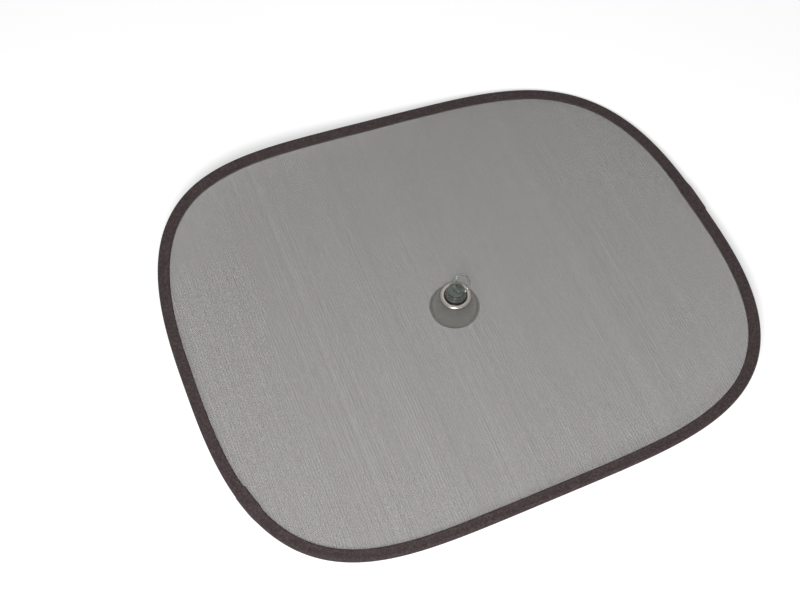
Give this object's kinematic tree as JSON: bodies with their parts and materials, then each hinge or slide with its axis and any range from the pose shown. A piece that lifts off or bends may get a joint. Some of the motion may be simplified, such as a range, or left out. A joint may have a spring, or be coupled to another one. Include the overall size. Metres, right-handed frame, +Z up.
{
  "type": "car side window sunshade",
  "caption": "Car side window sunshade: a springy wire hoop in a dark sewn hem, fine mesh stretched across it, and a clear suction cup with a pull ring snapped into a metal eyelet.",
  "frame": {"origin": "on the surface that the sunshade lies on, under the centre of the eyelet", "axes": "+X along the longer side of the hoop, +Y along the shorter side, +Z up from the surface, away from the suction face"},
  "size_m": [0.4408, 0.36, 0.0376],
  "materials": {
    "mesh": "fine knitted polyester mesh, open holes",
    "tape": "matte woven binding tape",
    "wire": "drawn spring steel",
    "ferrule": "pressed tube",
    "eyelet": "bright nickel plate",
    "washer": "bright nickel plate",
    "cup": "clear soft PVC with a smoky green tint"
  },
  "bodies": {
    "shade": {"mesh_panel": "mesh", "binding_tape": "tape", "frame_wire": "wire", "wire_ferrule": "ferrule", "eyelet": "eyelet", "eyelet_washer": "washer"},
    "cup": {"suction_cup": "cup"}
  },
  "joints": [
    {"name": "cup_spin", "type": "hinge", "parent": "shade", "child": "cup", "pos_m": [0, 0, 0.0166], "axis": [0, 0, 1], "continuous": true}
  ]
}
